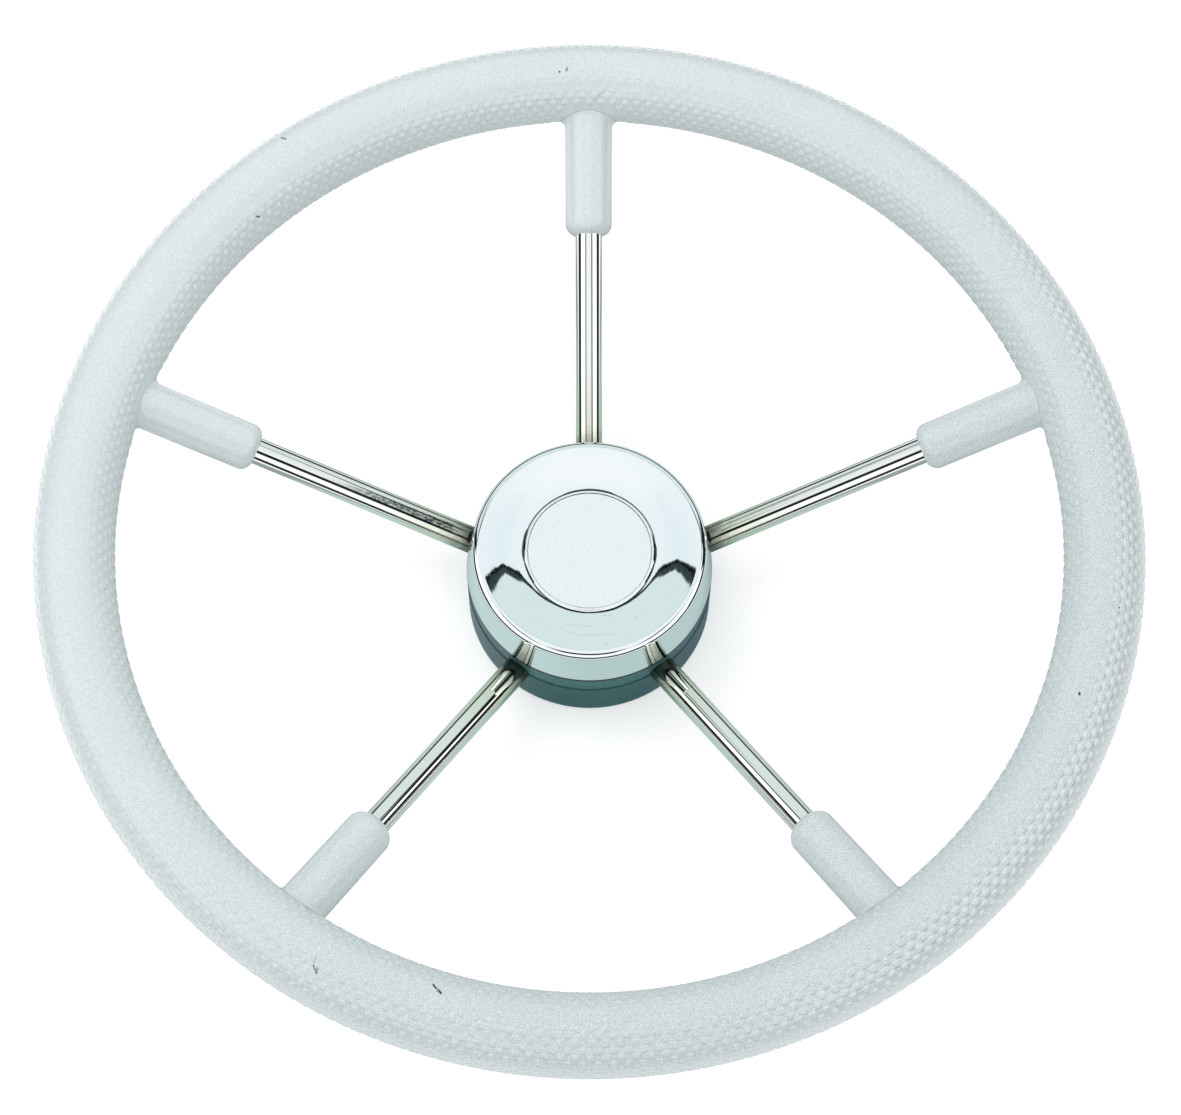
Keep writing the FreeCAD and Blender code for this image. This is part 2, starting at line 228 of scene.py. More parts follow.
def make_grip():
    tip, along, roots = root_curves()
    contact = np.array([c - ROOT_F * n for s, c, e, n in roots])
    c_phi = np.arctan2(contact[:, 1], contact[:, 0])
    c_psi = np.arctan2(contact[:, 2] - RIM_Z, np.hypot(contact[:, 0], contact[:, 1]) - R_MEAN) % (2 * math.pi)
    su = R_MEAN - BASE_R * 0.95                       # scale of the unrolled wall at the roots
    loop_u, loop_v = c_phi * su, (c_psi - math.pi) * BASE_R

    def gap(u, v):
        """Distance to the contact loop, negative inside it."""
        best, inside = 1e9, False
        for i in range(N_S):
            x0, y0, x1, y1 = loop_u[i], loop_v[i], loop_u[(i + 1) % N_S], loop_v[(i + 1) % N_S]
            t = max(0.0, min(1.0, ((u - x0) * (x1 - x0) + (v - y0) * (y1 - y0)) / ((x1 - x0) ** 2 + (y1 - y0) ** 2)))
            best = min(best, math.hypot(u - x0 - t * (x1 - x0), v - y0 - t * (y1 - y0)))
            if (y0 > v) != (y1 > v) and u < x0 + (v - y0) * (x1 - x0) / (y1 - y0):
                inside = not inside
        return -best if inside else best

    col, row = np.meshgrid(np.arange(N_COL), np.arange(N_ROW), indexing="ij")
    phi = PHI_0 + D_PHI * (col + 0.5 * (row % 2))
    psi = PSI_0 + D_PSI * row
    alive = np.ones((N_COL, N_ROW), bool)
    azim = [math.radians(a) for _, a in SPOKES]
    for i in range(N_COL):
        for k in range(N_ROW):
            for a in azim:
                dp = (phi[i, k] - a + math.pi) % (2 * math.pi) - math.pi
                if abs(dp) * su < 24:
                    dv = ((psi[i, k] - math.pi) + math.pi) % (2 * math.pi) - math.pi
                    if abs(dv) * BASE_R < 24 and gap(dp * su, dv * BASE_R) < 2.7:
                        alive[i, k] = False
    # corners of every dot: six on its foot, six near its top
    ang = np.arange(6) * math.pi / 3
    verts = np.zeros((N_COL, N_ROW, 12, 3))
    dome_n = np.zeros((N_COL, N_ROW, 12, 3))
    wall_n = np.zeros((N_COL, N_ROW, 6, 3))
    ball = (DOT_R ** 2 + DOT_H ** 2) / (2 * DOT_H)
    par = np.zeros((N_COL, N_ROW, 12, 2))
    # dot shading normals flattened on the crown and on the outer flank of the upper left, so the dots show less shade
    # there; their shape stays the same all round
    soft = np.clip((np.sin(psi) - 0.55) / 0.30, 0, 1)
    flank = np.clip(np.cos(psi) / 0.3, 0, 1) * np.clip((np.sin(phi) - np.cos(phi) + 0.2) / 0.9, 0, 1)
    soft = 1.0 - 0.72 * np.maximum(soft, flank)
    for j in range(12):
        rad, hgt = (DOT_R, 0.0) if j < 6 else (DOT_IN, DOT_IN_H)
        du, dv = rad * np.cos(ang[j % 6]), rad * np.sin(ang[j % 6])
        ps = psi + dv / BASE_R
        ph = phi + du / (R_MEAN + BASE_R * np.cos(psi))
        verts[:, :, j] = torus(ph, ps, BASE_R + hgt)
        n = torus_normal(ph, ps)
        tu = np.stack([-np.sin(ph), np.cos(ph), 0 * ph], -1)
        tv = np.stack([-np.sin(ps) * np.cos(ph), -np.sin(ps) * np.sin(ph), np.cos(ps)], -1)
        lean = (rad / ball * soft)[..., None]
        dome_n[:, :, j] = n * np.sqrt(1 - lean * lean) + lean * (tu * np.cos(ang[j % 6]) + tv * np.sin(ang[j % 6]))
        if j < 6:
            wall_n[:, :, j] = n
        par[:, :, j, 0], par[:, :, j, 1] = ph, ps
    index = -np.ones((N_COL, N_ROW), int)
    index[alive] = np.arange(alive.sum()) * 12
    V = [verts[alive].reshape(-1, 3)]
    P = par[alive].reshape(-1, 2)
    DN, WN = dome_n[alive].reshape(-1, 3), np.zeros((alive.sum() * 12, 3))
    WN.reshape(-1, 12, 3)[:, :6] = wall_n[alive]
    faces, normals = [], []
    half_edges = {}
    base_faces = []
    for i in range(N_COL):
        for k in range(N_ROW):
            a = index[i, k]
            if a < 0:
                continue
            for j in range(6):
                j2 = (j + 1) % 6
                f = (a + j, a + j2, a + 6 + j2, a + 6 + j)
                faces.append(f)
                normals += [DN[v] for v in f]
                base_faces.append((a + j, a + j2))
            for f in ((6, 7, 8), (6, 8, 9), (6, 9, 10), (6, 10, 11)):
                f = tuple(a + v for v in f)
                faces.append(f)
                normals += [DN[v] for v in f]
            up = (k + 1) % N_ROW
            dn = (k - 1) % N_ROW
            ur = index[(i + (k % 2)) % N_COL, up]
            ul = index[(i - 1 + (k % 2)) % N_COL, up]
            rt = index[(i + 1) % N_COL, k]
            dr_ = index[(i + (k % 2)) % N_COL, dn]
            quads = []
            if ur >= 0:
                quads.append((a + 0, ur + 4, ur + 3, a + 1))
            if ul >= 0:
                quads.append((a + 3, a + 2, ul + 0, ul + 5))
            if rt >= 0 and ur >= 0:
                quads.append((a + 0, rt + 3, ur + 5, ur + 4))
            if rt >= 0 and dr_ >= 0:
                quads.append((a + 0, dr_ + 2, dr_ + 1, rt + 3))
            for f in quads:
                faces.append(f)
                normals += [WN[v] for v in f]
                for m in range(4):
                    half_edges[(f[m], f[(m + 1) % 4])] = 1
    for e in base_faces:
        half_edges[e] = 1
    # open borders of the dotted wall, one round each sleeve; the patch runs along them the other way
    nxt = {}
    for (p, q) in half_edges:
        if (q, p) not in half_edges:
            nxt[q] = p
    loops = []
    while nxt:
        start = next(iter(nxt))
        loop, v = [], start
        while v in nxt:
            loop.append(v)
            v = nxt.pop(v)
        loops.append(loop)
    n_dots = len(V[0])
    count = n_dots
    dotted = [np.ones(n_dots)]
    root = [np.zeros(n_dots)]
    for (name, azd), a in zip(SPOKES, azim):
        rz = np.array([[math.cos(a), -math.sin(a), 0], [math.sin(a), math.cos(a), 0], [0, 0, 1]])
        border = None
        for loop in loops:
            ph = P[loop, 0]
            mid = math.atan2(np.sin(ph).mean(), np.cos(ph).mean())
            if abs((mid - a + math.pi) % (2 * math.pi) - math.pi) < 0.2:
                border = loop
        rings, ring_n = [], []
        # rim side of the blend, then the blend itself, up to the sleeve
        m_arc = 4
        for q in range(m_arc + 1):
            t = q / m_arc
            pts, nn = [], []
            for s, c, e, n in roots:
                w = math.acos(max(-1, min(1, float(np.dot(e, n)))))
                d = (math.sin((1 - t) * w) * n + math.sin(t * w) * e) / math.sin(w)
                pts.append(c - ROOT_F * d)
                nn.append(d)
            rings.append(pts)
            ring_n.append(nn)
        for lam in (0.12, 0.3, 0.5, 0.72, 0.9, 1.0):
            pts, nn = [], []
            for s, c, e, n in roots:
                ss = s + (END_L - s) * lam
                pts.append(tip + ss * along + sleeve_radius(ss) * e)
                nn.append(e)
            rings.append(pts)
            ring_n.append(nn)
        k7 = 0.70710678
        dr = SLV_R1 - TIP_R
        prof = arc3((SLV_R1, END_L), (TIP_R + dr * k7, END_L * (1 - k7)), (TIP_R, 0.0), 6)
        oc = np.array(prof)
        # centre of that arc, for its normals
        A = np.array([[oc[3][0] - oc[0][0], oc[3][1] - oc[0][1]], [oc[6][0] - oc[0][0], oc[6][1] - oc[0][1]]]) * 2
        B = np.array([(oc[3] ** 2).sum() - (oc[0] ** 2).sum(), (oc[6] ** 2).sum() - (oc[0] ** 2).sum()])
        o = np.linalg.solve(A, B)
        for r_, s_ in prof[1:]:
            v = np.array([r_, s_]) - o
            v /= np.linalg.norm(v)
            rings.append([tip + s_ * along + r_ * e for _, _, e, _ in roots])
            ring_n.append([v[0] * e + v[1] * along for _, _, e, _ in roots])
        hard = len(rings) - 1                      # the edge at the tube
        for r_, s_ in ((5.02, 0.0), (5.02, 3.0)):
            rings.append([tip + s_ * along + r_ * e for _, _, e, _ in roots])
            ring_n.append([-along if s_ == 0 else -e for _, _, e, _ in roots])
        ring_v = np.array(rings) @ rz.T
        ring_nn = np.array(ring_n) @ rz.T
        first = count
        V.append(ring_v.reshape(-1, 3))
        V.append(((tip + 3.0 * along) @ rz.T)[None])
        count += len(rings) * N_S + 1
        dotted.append(np.zeros(len(rings) * N_S + 1))
        seam = np.zeros((len(rings), N_S))
        seam[1] = 1.0
        root.append(np.append(seam.reshape(-1), 0.0))
        axis_n = -(along @ rz.T)
        for q in range(len(rings) - 1):
            for i in range(N_S):
                i2 = (i + 1) % N_S
                f = (first + q * N_S + i, first + (q + 1) * N_S + i, first + (q + 1) * N_S + i2, first + q * N_S + i2)
                faces.append(f)
                if q == hard:
                    normals += [axis_n] * 4
                elif q == hard + 1:
                    normals += [ring_nn[q + 1][i], ring_nn[q + 1][i], ring_nn[q + 1][i2], ring_nn[q + 1][i2]]
                else:
                    normals += [ring_nn[q][i], ring_nn[q + 1][i], ring_nn[q + 1][i2], ring_nn[q][i2]]
        last = first + (len(rings) - 1) * N_S
        for i in range(N_S):
            faces.append((last + (i + 1) % N_S, last + i, count - 1))
            normals += [axis_n] * 3
        # plain wall between the dots and the blend
        bu = [((P[v, 0] - a + math.pi) % (2 * math.pi) - math.pi) * su for v in border]
        bv = [(((P[v, 1] - math.pi) + math.pi) % (2 * math.pi) - math.pi) * BASE_R for v in border]
        coords = [Vector((x, y)) for x, y in zip(bu, bv)] + [Vector((x, y)) for x, y in zip(loop_u, loop_v)]
        nb = len(border)
        edges = [(i, (i + 1) % nb) for i in range(nb)] + [(nb + i, nb + (i + 1) % N_S) for i in range(N_S)]
        cv, ce, cf, ov, oe, of_ = delaunay_2d_cdt(coords, edges, [], 1, 1e-5)
        ids = [(border[o[0]] if o[0] < nb else first + o[0] - nb) for o in ov]
        for f in cf:
            g = sum((cv[v] for v in f), Vector((0, 0))) / len(f)
            if gap(g.x, g.y) < 0:
                continue
            x0, x1, x2 = cv[f[0]], cv[f[1]], cv[f[2]]
            area = (x1.x - x0.x) * (x2.y - x0.y) - (x2.x - x0.x) * (x1.y - x0.y)
            f = list(f) if area > 0 else list(f)[::-1]
            faces.append(tuple(ids[v] for v in f))
            for v in f:
                o = ov[v][0]
                if o < nb:
                    normals.append(WN[border[o]])
                else:
                    normals.append(ring_nn[0][o - nb])
    grip = build("grip", np.concatenate(V), faces, np.array(normals), {"dotted": np.concatenate(dotted),
                                                                                  "root": np.concatenate(root)})
    tris = sum(len(f) - 2 for f in faces)
    used = {}
    for f in faces:
        for m in range(len(f)):
            e = (f[m], f[(m + 1) % len(f)])
            used[e] = used.get(e, 0) + 1
    bad = sum(1 for (p, q), c in used.items() if c != 1 or (q, p) not in used)
    print("grip: triangles", tris, "loops", [len(l) for l in loops], "open or doubled edges", bad)
    return grip


grip = make_grip()

# ---- spokes -----------------------------------------------------------------------------------------------------
spokes = {}
for name, azd in SPOKES:
    rot, rz = spoke_frame(azd)
    x0, x1 = 21.0, R_MEAN - 9.5
    o = Outline((0.0, x0 / math.cos(TILT))).line((SPOKE_R - 0.3, x0 / math.cos(TILT))).line((SPOKE_R, x0 / math.cos(TILT) + 0.3))
    o.line((SPOKE_R, x1 / math.cos(TILT)), 24).line((0.0, x1 / math.cos(TILT)))
    spokes[name] = lathe("tube_" + name[6:], o, 128, (rot, np.array([0, 0, Z0])))

# ---- cap, disc ------------------------------------------------------------------------------------------------
SK_R, BD_R, BD_Z, BD_S = 45.4, 40.2, 45.08, 3.0
D_END, D_MID, D_FOOT, D_R1, D_R2, FT_R = 9.0, 14.3, 4.8, 32.0, 32.3, 24.1
LIP_R, LIP_Z, CAP_T = 23.5, 45.85, 2.0
DISC_R, FIT_R, SEAT_Z, DISC_Z = 22.7, 22.8, 43.95, 45.68
sd, cd = (lambda v: math.sin(math.radians(v))), (lambda v: math.cos(math.radians(v)))


def on_bead(t):
    return (BD_R + BD_S * sd(t), BD_Z + BD_S * cd(t))


dish_end = on_bead(-D_END)
rad2 = (dish_end[0] - D_R2) / (sd(D_MID) - sd(D_END))
dish_2 = (D_R2, dish_end[1] - rad2 * (cd(D_END) - cd(D_MID)))
m2 = (D_MID + D_END) / 2
dish_2m = (D_R2 + rad2 * (sd(D_MID) - sd(m2)), dish_2[1] + rad2 * (cd(m2) - cd(D_MID)))
dish_1 = (D_R1, dish_2[1] - (D_R2 - D_R1) * math.tan(math.radians(D_MID)))
rad1 = (D_R1 - FT_R) / (sd(D_MID) - sd(D_FOOT))
m1 = (D_MID + D_FOOT) / 2
foot = (FT_R, dish_1[1] - rad1 * (cd(D_FOOT) - cd(D_MID)))
dish_1m = (FT_R + rad1 * (sd(m1) - sd(D_FOOT)), foot[1] + rad1 * (cd(D_FOOT) - cd(m1)))
hem = (SK_R, SEAM_Z + 0.5)
reach = math.hypot(hem[0] - BD_R, hem[1] - BD_Z)
skirt_tilt = 90.0 - math.degrees(math.atan2(hem[1] - BD_Z, hem[0] - BD_R) + math.acos(BD_S / reach))
skirt_top = on_bead(skirt_tilt)
k7 = 0.70710678
in_low = SK_R - CAP_T
in_z = 46.4
in_r = in_low - 0.157 * (in_z - SEAM_Z) - 0.2
o = Outline((in_low, SEAM_Z)).line((SK_R - 0.5, SEAM_Z)).arc((SK_R - 0.5 + 0.5 * k7, SEAM_Z + 0.5 - 0.5 * k7), hem, 6)
o.line(skirt_top, 6).arc(on_bead((skirt_tilt - D_END) / 2), dish_end, 32).arc(dish_2m, dish_2, 8).line(dish_1, 8)
b1 = (foot[0] - 0.10, foot[1] + 0.02)
o.arc(dish_1m, foot, 10)
o.line((LIP_R + 0.12, LIP_Z - 0.14)).arc((LIP_R + 0.02, LIP_Z - 0.03), (LIP_R - 0.12, LIP_Z), 4).line((FIT_R + 0.1, LIP_Z))
o.arc((FIT_R + 0.03, LIP_Z - 0.03), (FIT_R, LIP_Z - 0.1), 3)
o.line((FIT_R, SEAT_Z)).line((0.0, SEAT_Z))
o2 = o.line((0.0, SEAT_Z - CAP_T)).line((FT_R + 0.6, SEAT_Z - CAP_T)).arc((32.6, 44.85), (in_r - 0.8, in_z), 8)
o2.line((in_r, in_z)).line((in_low, SEAM_Z))
cap = lathe("cap", o, 256)

o = Outline((0.0, SEAT_Z)).line((DISC_R, SEAT_Z)).line((DISC_R, DISC_Z - 0.35))
o.arc((DISC_R - 0.35 + 0.35 * k7, DISC_Z - 0.35 + 0.35 * k7), (DISC_R - 0.35, DISC_Z), 6).line((0.0, DISC_Z), 6)
disc = lathe("disc", o, 256)


# ---- material helpers -------------------------------------------------------------------------------------------
class Shader:
    """Small builder for a procedural node tree."""

    def __init__(self, name, world=False):
        if world:
            self.owner = bpy.data.worlds.new(name)
        else:
            self.owner = bpy.data.materials.new(name)
        self.owner.use_nodes = True
        self.t = self.owner.node_tree
        self.t.nodes.clear()
        self.out = self.t.nodes.new("ShaderNodeOutputWorld" if world else "ShaderNodeOutputMaterial")

    def set(self, socket, value):
        if isinstance(value, bpy.types.NodeSocket):
            self.t.links.new(value, socket)
        elif isinstance(value, (tuple, list)):
            value = tuple(value)
            socket.default_value = value + (1.0,) if socket.type == "RGBA" and len(value) == 3 else value
        elif value is not None:
            socket.default_value = value

    def node(self, kind, inputs=None, **props):
        n = self.t.nodes.new(kind)
        for key, v in props.items():
            setattr(n, key, v)
        for key, v in (inputs or {}).items():
            self.set(n.inputs[key], v)
        return n

    def m(self, op, a, b=None, c=None, clamp=False):
        n = self.t.nodes.new("ShaderNodeMath")
        n.operation, n.use_clamp = op, clamp
        self.set(n.inputs[0], a)
        if b is not None:
            self.set(n.inputs[1], b)
        if c is not None:
            self.set(n.inputs[2], c)
        return n.outputs[0]

    def step(self, v, e0, e1, lo=0.0, hi=1.0, smooth=True):
        """lo below e0, hi above e1."""
        n = self.node("ShaderNodeMapRange", interpolation_type="SMOOTHSTEP" if smooth else "LINEAR")
        if e1 < e0:
            e0, e1, lo, hi = e1, e0, hi, lo
        for i, x in enumerate((v, e0, e1, lo, hi)):
            self.set(n.inputs[i], x)
        return n.outputs[0]

    def mix(self, f, a, b, blend="MIX"):
        n = self.node("ShaderNodeMix", data_type="RGBA", blend_type=blend)
        self.set(n.inputs[0], f)
        self.set(n.inputs[6], a)
        self.set(n.inputs[7], b)
        return n.outputs[2]

    def noise(self, vec, scale, detail=3.0, rough=0.55, out="Fac", **kw):
        n = self.node("ShaderNodeTexNoise", {"Vector": vec, "Scale": scale, "Detail": detail, "Roughness": rough}, **kw)
        return n.outputs["Fac" if out == "Fac" else "Color"]

    def principled(self, **inputs):
        n = self.t.nodes.new("ShaderNodeBsdfPrincipled")
        for key, v in inputs.items():
            self.set(n.inputs[key.replace("_", " ")], v)
        self.t.links.new(n.outputs[0], self.out.inputs["Surface"])
        return n

    def coords(self, kind="Object"):
        return self.node("ShaderNodeTexCoord").outputs[kind]

    def xyz(self, vec):
        n = self.node("ShaderNodeSeparateXYZ", {0: vec})
        return n.outputs[0], n.outputs[1], n.outputs[2]


def paint(ob, mat):
    ob.data.materials.clear()
    ob.data.materials.append(mat)


# ---- grip material --------------------------------------------------------------------------------------------
def grip_material():
    s = Shader("soft_grip")
    co = s.coords()
    x, y, z = s.xyz(co)
    rho = s.m("SQRT", s.m("ADD", s.m("MULTIPLY", x, x), s.m("MULTIPLY", y, y)))
    phi = s.m("ARCTAN2", y, x)
    psi = s.m("ARCTAN2", s.m("SUBTRACT", z, RIM_Z * MM), s.m("SUBTRACT", rho, R_MEAN * MM))
    a = s.m("DIVIDE", s.m("SUBTRACT", phi, PHI_0), D_PHI)
    b = s.m("DIVIDE", s.m("SUBTRACT", psi, PSI_0), D_PSI)
    dist, rise = [], []
    for half in (0.0, 0.5):
        aa = s.m("SUBTRACT", a, half) if half else a
        bb = s.m("SUBTRACT", b, 1.0) if half else b
        da = s.m("SUBTRACT", aa, s.m("ROUND", aa))
        db = s.m("SUBTRACT", bb, s.m("MULTIPLY", s.m("ROUND", s.m("MULTIPLY", bb, 0.5)), 2.0))
        du = s.m("MULTIPLY", s.m("MULTIPLY", da, D_PHI * 1000.0), rho)
        dv = s.m("MULTIPLY", db, D_PSI * (BASE_R + 0.2))
        rise.append(dv)
        dist.append(s.m("SQRT", s.m("ADD", s.m("MULTIPLY", du, du), s.m("MULTIPLY", dv, dv))))
    d = s.m("MINIMUM", dist[0], dist[1])              # distance to the nearest dot's middle, in mm
    first = s.m("LESS_THAN", dist[0], dist[1])
    dv = s.m("ADD", s.m("MULTIPLY", rise[0], first), s.m("MULTIPLY", rise[1], s.m("SUBTRACT", 1.0, first)))
    on = s.node("ShaderNodeAttribute", attribute_name="dotted").outputs["Fac"]
    # mask for a painted highlight on the crown side and a painted shade on the outer side of each dot, mostly on the
    # outer flank at the right and the bottom
    dot_light_and_shade = s.m("MULTIPLY", s.step(s.m("SUBTRACT", x, y), -0.03, 0.12), s.step(psi, 1.30, 1.50, 1.0, 0.0))
    dot_light_and_shade = s.m("MULTIPLY", dot_light_and_shade, s.step(x, 0.03, 0.13, 0.38, 1.0))
    dot_light_and_shade = s.m("MULTIPLY", s.m("MULTIPLY", dot_light_and_shade, on), s.m("MULTIPLY", s.step(d, 1.25, 1.75, 1.0, 0.0), s.step(d, 0.2, 0.9)))
    # crease round each dot's foot: a bump, and painted shade in the colour
    crease = s.m("MULTIPLY", s.m("MULTIPLY", s.step(d, 1.1, 1.65), s.step(d, 1.7, 2.1, 1.0, 0.35)), on)
    # less crease bump and painted shade on the crown and on the outer flank of the upper left
    crown_fade = s.step(s.m("SINE", psi), 0.55, 0.85)
    outer = s.m("MULTIPLY", s.step(s.m("COSINE", psi), 0.0, 0.3), s.step(s.m("SUBTRACT", y, x), -0.04, 0.13))
    crease = s.m("MULTIPLY", crease, s.m("SUBTRACT", 1.0, s.m("MULTIPLY", s.m("MAXIMUM", crown_fade, outer), 0.75)))
    # colour: cool light grey with a fine speckle, uneven by a percent or two, painted highlight and painted shade on
    # the dots, painted shade in the crease round each dot, a darker mottled band at the sleeve roots, a few scuffs and
    # a hairline scratch
    cloud = s.noise(co, 22.0, 3.0)
    fine = s.noise(co, 900.0, 3.0, 0.6)
    base = s.mix(s.step(cloud, 0.3, 0.7), (0.766, 0.828, 0.843), (0.788, 0.848, 0.862))
    speck = s.noise(co, 2500.0, 1.5, 0.6)
    side = s.step(s.m("SUBTRACT", x, y), -0.16, 0.20, 0.55, 1.0)
    base = s.mix(s.m("MULTIPLY", s.step(speck, 0.38, 0.62, 0.0, 1.0, smooth=False), side), base, (0.52, 0.60, 0.63))
    # painted highlight on each dot's crown side
    base = s.mix(s.m("MULTIPLY", dot_light_and_shade, s.step(dv, 0.25, 1.15, 0.0, 0.60)), base, (0.95, 0.975, 0.975))
    # painted shade on each dot's outer side
    base = s.mix(s.m("MULTIPLY", dot_light_and_shade, s.step(dv, -1.30, -0.30, 0.62, 0.0)), base, (0.30, 0.37, 0.39))
    # painted shade in the crease round each dot
    base = s.mix(s.m("MULTIPLY", crease, 0.10), base, (0.47, 0.55, 0.575))
    root = s.node("ShaderNodeAttribute", attribute_name="root").outputs["Fac"]
    base = s.mix(s.m("MULTIPLY", s.step(root, 0.60, 1.0), s.step(cloud, 0.35, 0.6, 0.25, 0.55)), base, (0.30, 0.37, 0.37))
    mark = None
    warp = s.noise(co, 420.0, 3.0, 0.65, out="Color")
    wv = s.node("ShaderNodeVectorMath", {0: warp, 1: (0.5, 0.5, 0.5)}, operation="SUBTRACT").outputs[0]
    wv = s.node("ShaderNodeVectorMath", {0: wv, "Scale": 0.0011}, operation="SCALE").outputs[0]
    pw = s.node("ShaderNodeVectorMath", {0: co, 1: wv}, operation="ADD").outputs[0]
    for ax, ay, az, bx, by, bz, half, dark in SCUFFS:
        a, ab = Vector((ax, ay, az)) * MM, Vector((bx - ax, by - ay, bz - az)) * MM
        rel = s.node("ShaderNodeVectorMath", {0: pw, 1: tuple(a)}, operation="SUBTRACT").outputs[0]
        dot = s.node("ShaderNodeVectorMath", {0: rel, 1: tuple(ab / ab.length_squared)}, operation="DOT_PRODUCT")
        t = s.m("MULTIPLY", dot.outputs["Value"], 1.0, clamp=True)
        foot_ = s.node("ShaderNodeVectorMath", {0: tuple(ab), "Scale": t}, operation="SCALE").outputs[0]
        dd = s.node("ShaderNodeVectorMath", {0: rel, 1: foot_}, operation="DISTANCE").outputs["Value"]
        one = s.step(dd, half * 0.55 * MM, half * 1.1 * MM, min(1.0, dark * 1.25), 0.0)
        mark = one if mark is None else s.m("MAXIMUM", mark, one)
    base = s.mix(mark, base, (0.02, 0.035, 0.035))
    rough = s.m("ADD", s.step(fine, 0.3, 0.7, 0.16, 0.22), s.m("MULTIPLY", mark, 0.2))
    grain = s.node("ShaderNodeTexNoise", {"Vector": co, "Scale": 2000.0, "Detail": 2.0, "Roughness": 0.5})
    b1 = s.node("ShaderNodeBump", {"Strength": s.m("MULTIPLY", side, 0.62), "Distance": 0.00018, "Height": grain.outputs["Fac"]})
    b2 = s.node("ShaderNodeBump", {"Strength": 0.50, "Distance": 0.00024, "Height": crease, "Normal": b1.outputs[0]},
                invert=True)
    s.principled(Base_Color=base, Roughness=rough, Normal=b2.outputs[0], IOR=1.58)
    return s.owner


# scuffs on the grip: both ends in mm, half the width in mm, and how dark
SCUFFS = [
    (-115.0, 154.5, 76.5, -113.4, 153.6, 77.3, 0.50, 0.55),
    (-123.5, 123.0, 73.4, -122.5, 123.1, 72.5, 0.40, 0.80),
    (-93.5, -164.4, 77.9, -92.5, -167.0, 77.3, 0.40, 0.60),
    (-92.2, -165.4, 77.9, -92.4, -166.8, 77.4, 0.40, 0.45),
    (-93.4, -163.4, 78.2, -92.8, -161.9, 78.4, 0.30, 0.30),
    (-53.2, -170.9, 77.0, -50.4, -174.0, 77.8, 0.42, 0.95),
    (-51.8, -173.3, 77.8, -50.6, -173.8, 77.8, 0.45, 0.50),
    (-11.2, 182.0, 78.2, -11.0, 182.0, 78.2, 0.50, 0.75),
    (-8.4, 182.6, 78.2, -8.3, 183.5, 78.4, 0.40, 0.60),
    (170.5, -67.3, 78.3, 170.5, -68.1, 78.3, 0.45, 0.90),
    (186.5, -35.1, 77.7, 186.6, -35.3, 77.7, 0.45, 0.95),
    (7.5, 176.7, 75.7, 6.2, 175.5, 74.7, 0.20, 0.35),
    (6.2, 175.5, 74.7, 4.3, 174.5, 73.6, 0.20, 0.35),
    (4.3, 174.5, 73.6, 1.9, 173.3, 72.0, 0.20, 0.28),
]
paint(grip, grip_material())


# ---- metals -----------------------------------------------------------------------------------------------------
def metal(name, colour_a, colour_b, rough_a, rough_b, scale=60.0, bump=0.03, stretch=(1, 1, 1), dist=0.00005):
    s = Shader(name)
    co = s.coords()
    mp = s.node("ShaderNodeMapping", {"Vector": co, "Scale": stretch}).outputs[0]
    n = s.noise(mp, scale, 4.0, 0.6)
    f = s.noise(mp, scale * 14, 3.0, 0.6)
    col = s.mix(s.step(n, 0.3, 0.7), colour_a, colour_b)
    rgh = s.step(f, 0.3, 0.7, rough_a, rough_b)
    bp = s.node("ShaderNodeBump", {"Strength": bump, "Distance": dist, "Height": f})
    s.principled(Base_Color=col, Metallic=1.0, Roughness=rgh, Normal=bp.outputs[0])
    return s.owner


